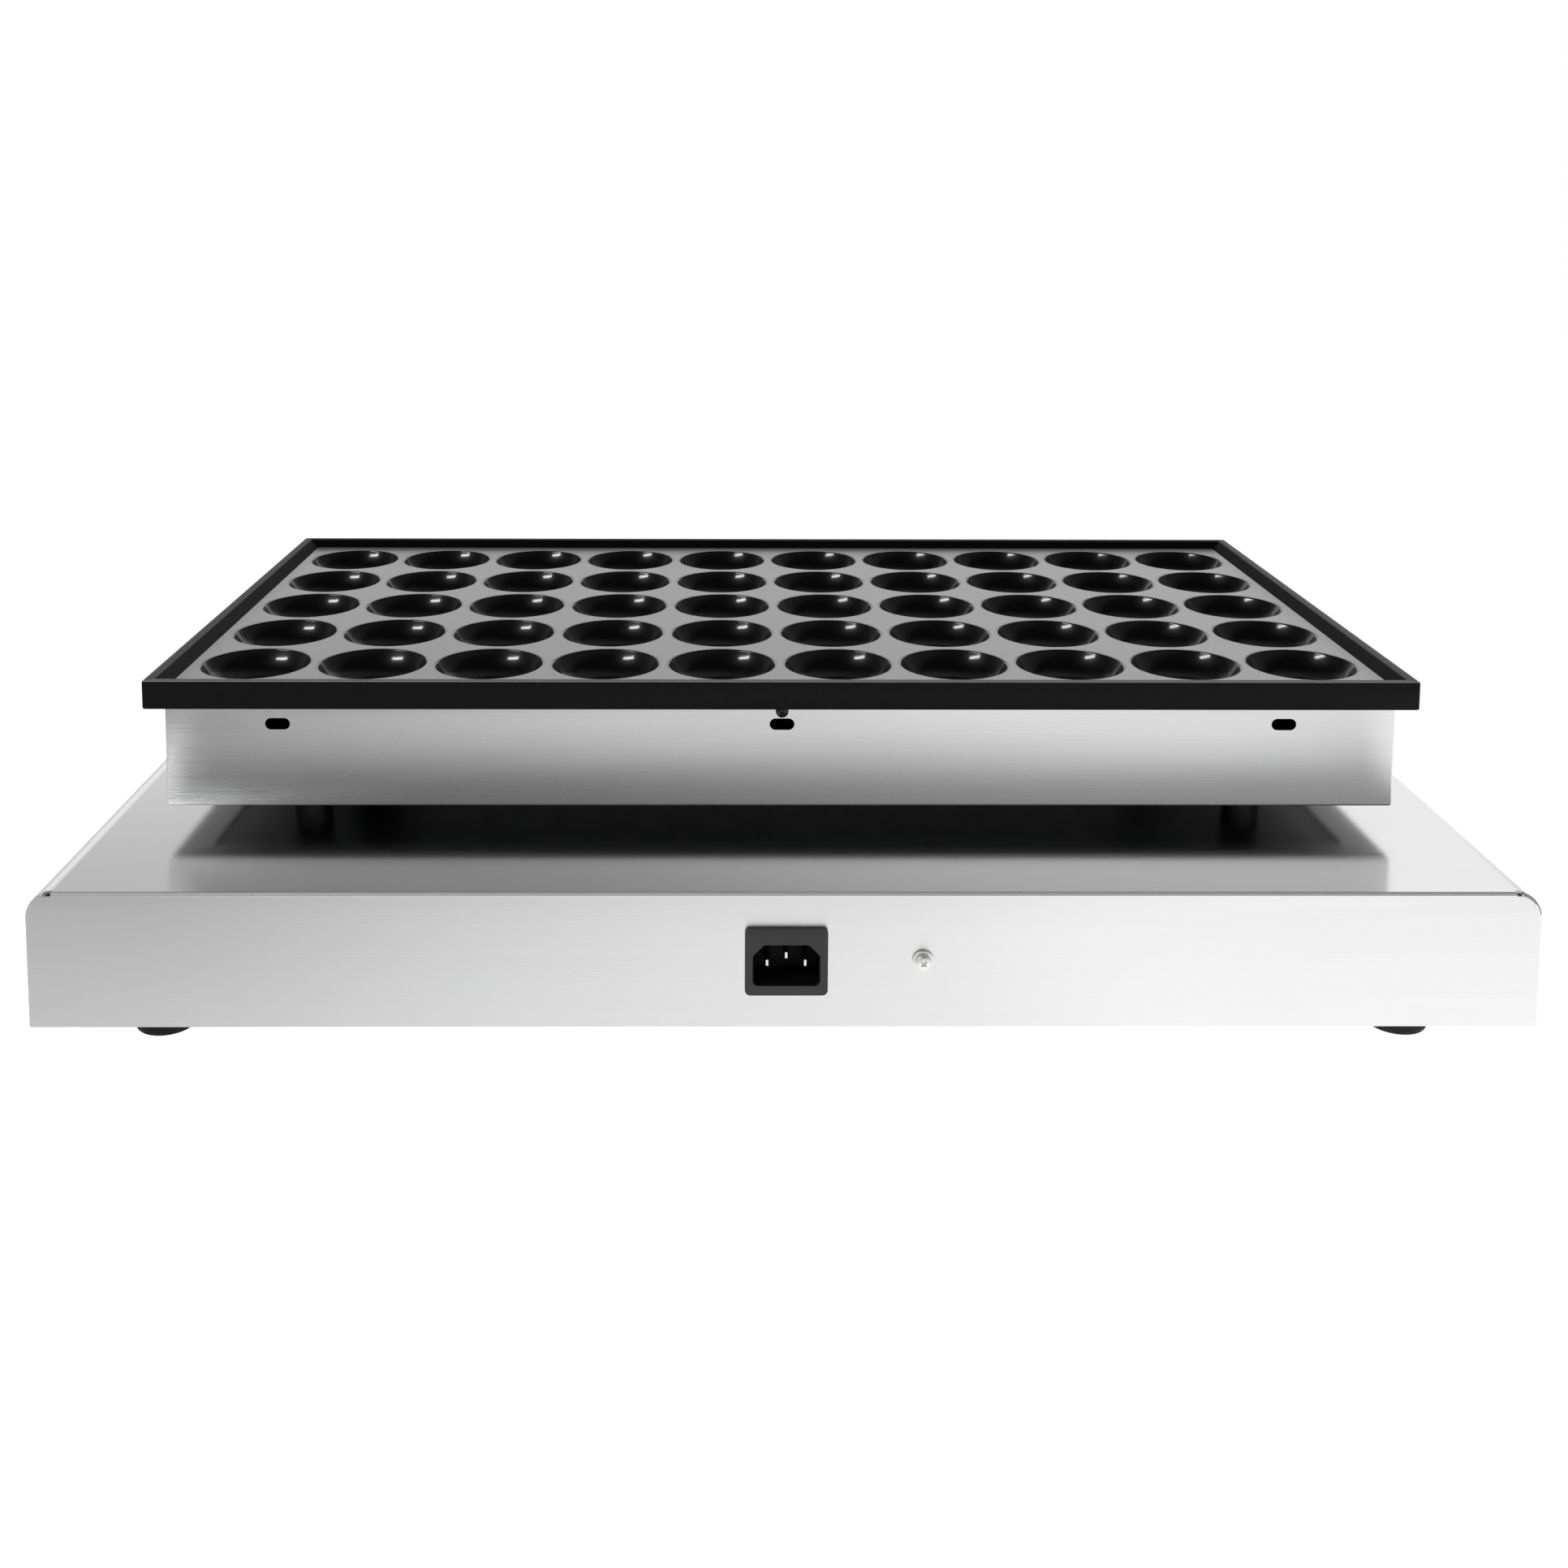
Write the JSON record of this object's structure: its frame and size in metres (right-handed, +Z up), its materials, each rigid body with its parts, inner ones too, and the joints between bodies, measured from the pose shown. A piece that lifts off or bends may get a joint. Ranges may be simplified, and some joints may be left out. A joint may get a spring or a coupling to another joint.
{
  "type": "mini pancake maker",
  "caption": "Countertop mini pancake maker: a black rimmed plate with round cups on a steel housing, raised over a wide steel base with an inlet and dials.",
  "frame": {"origin": "middle of the bounding box at the foot bottoms", "axes": "+Z up, +X to the right as seen from the side with the power inlet, which faces -Y; the control side faces +Y"},
  "size_m": [0.57, 0.4338, 0.1305],
  "materials": {
    "beige_plastic": "moulded",
    "black_plastic": "fine grain",
    "blue_wire": "PVC",
    "brown_wire": "PVC",
    "cast": "black non-stick coat, satin on the webs and gloss in the cups",
    "ceramic": "glazed",
    "copper": "bare copper",
    "dark_steel": "dark, heat stained",
    "earth_wire": "PVC",
    "green_plastic": "clear coloured",
    "grey_plastic": "satin",
    "nickel": "nickel plated",
    "red_plastic": "clear coloured",
    "rubber": "matte",
    "steel": "polished",
    "white_wire": "silicone",
    "wool": "pressed mineral wool",
    "zinc": "zinc plated"
  },
  "bodies": {
    "grill": {"baking_plate": "cast", "grill_housing": "steel", "housing_floor": "dark_steel", "insulation_pad": "wool", "heater_front": "dark_steel", "heater_rear": "dark_steel", "clamp_bar_left": "zinc", "clamp_bar_right": "zinc", "probe_clip": "zinc", "clamp_screw_1": "zinc", "clamp_screw_2": "zinc", "clamp_screw_3": "zinc", "clamp_screw_4": "zinc", "clamp_screw_5": "zinc", "probe_bulb": "copper", "capillary_tube": "copper", "plate_screw_rear": "dark_steel", "plate_screw_front": "dark_steel", "standoff_1": "dark_steel", "standoff_2": "dark_steel", "standoff_3": "dark_steel", "standoff_4": "dark_steel", "conduit": "dark_steel", "base_cover": "steel", "bottom_plate": "zinc", "foot_1": "rubber", "foot_2": "rubber", "foot_3": "rubber", "foot_4": "rubber", "foot_screw_1": "zinc", "foot_screw_2": "zinc", "foot_screw_3": "zinc", "foot_screw_4": "zinc", "inlet_body": "grey_plastic", "inlet_pin_line": "nickel", "inlet_pin_neutral": "nickel", "inlet_pin_earth": "nickel", "earth_screw": "zinc", "earth_washer": "zinc", "earth_nut": "zinc", "thermostat_body": "beige_plastic", "timer_body": "beige_plastic", "switch_body": "black_plastic", "power_lamp": "green_plastic", "heat_lamp": "red_plastic", "terminal_block": "ceramic", "heater_lead_front": "white_wire", "heater_lead_rear": "white_wire", "heater_link": "white_wire", "line_wire": "brown_wire", "neutral_wire": "blue_wire", "earth_wire": "earth_wire", "switch_lead": "brown_wire", "control_lead": "white_wire", "timer_lead": "white_wire"},
    "thermostat_dial": {"thermostat_knob": "black_plastic"},
    "timer_dial": {"timer_knob": "black_plastic"},
    "switch_rocker": {"power_rocker": "red_plastic"}
  },
  "joints": [
    {"name": "thermostat_turn", "type": "hinge", "parent": "grill", "child": "thermostat_dial", "pos_m": [-0.07, 0.1968, 0.03825], "axis": [0, -1, 0], "range_deg": [0, 270]},
    {"name": "timer_turn", "type": "hinge", "parent": "grill", "child": "timer_dial", "pos_m": [0.07, 0.1968, 0.03825], "axis": [0, -1, 0], "range_deg": [0, 300]},
    {"name": "power_switch", "type": "hinge", "parent": "grill", "child": "switch_rocker", "pos_m": [0.2, 0.1951, 0.03825], "axis": [1, 0, 0], "range_deg": [0, 16]}
  ]
}
